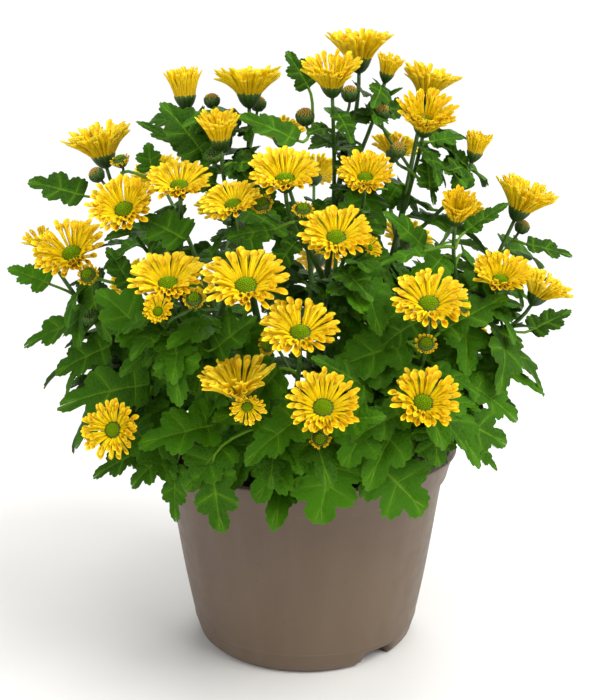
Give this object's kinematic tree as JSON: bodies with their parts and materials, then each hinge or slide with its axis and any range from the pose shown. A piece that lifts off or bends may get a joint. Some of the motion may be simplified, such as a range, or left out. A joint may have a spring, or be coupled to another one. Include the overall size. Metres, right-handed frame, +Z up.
{
  "type": "potted chrysanthemum",
  "caption": "Bushy potted chrysanthemum with yellow spoon-petalled blooms, buds and lobed green leaves on branching stems, growing in soil in a round taupe plastic nursery pot.",
  "frame": {"origin": "middle of the bounding box in plan, on the plane of the pot's foot", "axes": "+Z up along the pot's axis, -Y towards the side of the plant in the picture, +X to the right of that side"},
  "size_m": [0.3456, 0.3113, 0.372],
  "materials": {
    "pot_plastic": "moulded taupe polypropylene, satin, faintly streaked",
    "soil": "dark crumbly peat compost, stands in for soil",
    "foliage": "fresh green leaves, stalks and bract cups, soft sheen, lighter veins",
    "petals": "golden yellow petals, satin, paler spoon edges, orange inside"
  },
  "bodies": {
    "root": {"bloom_01": "petals", "bloom_02": "petals", "bloom_03": "petals", "bloom_04": "petals", "bloom_05": "petals", "bloom_06": "petals", "bloom_07": "petals", "bloom_08": "petals", "bloom_09": "petals", "bloom_10": "petals", "bloom_11": "petals", "bloom_12": "petals", "bloom_13": "petals", "bloom_14": "petals", "bloom_15": "petals", "bloom_16": "petals", "bloom_17": "petals", "bloom_18": "petals", "bloom_19": "petals", "bloom_20": "petals", "bloom_21": "petals", "bloom_22": "petals", "bloom_23": "petals", "bloom_24": "petals", "bloom_25": "petals", "bloom_26": "petals", "bloom_27": "petals", "bloom_28": "petals", "bloom_29": "petals", "bloom_30": "petals", "bloom_31": "petals", "bloom_32": "petals", "bloom_33": "petals", "bloom_34": "petals", "bloom_35": "petals", "bloom_36": "petals", "bloom_37": "petals", "bloom_38": "petals", "bloom_39": "petals", "bloom_40": "petals", "bloom_41": "petals", "bloom_42": "petals", "bloom_43": "petals", "bloom_44": "petals", "bloom_45": "petals", "pot": "pot_plastic", "soil": "soil", "stem_back_left": "foliage", "stem_back_middle": "foliage", "stem_back_right": "foliage", "stem_front_left": "foliage", "stem_front_low": "foliage", "stem_front_middle": "foliage", "stem_front_right": "foliage", "stem_left_high": "foliage", "stem_left_low": "foliage", "stem_right_high": "foliage", "stem_top_left": "foliage", "stem_top_middle": "foliage", "stem_top_right": "foliage"}
  },
  "joints": []
}
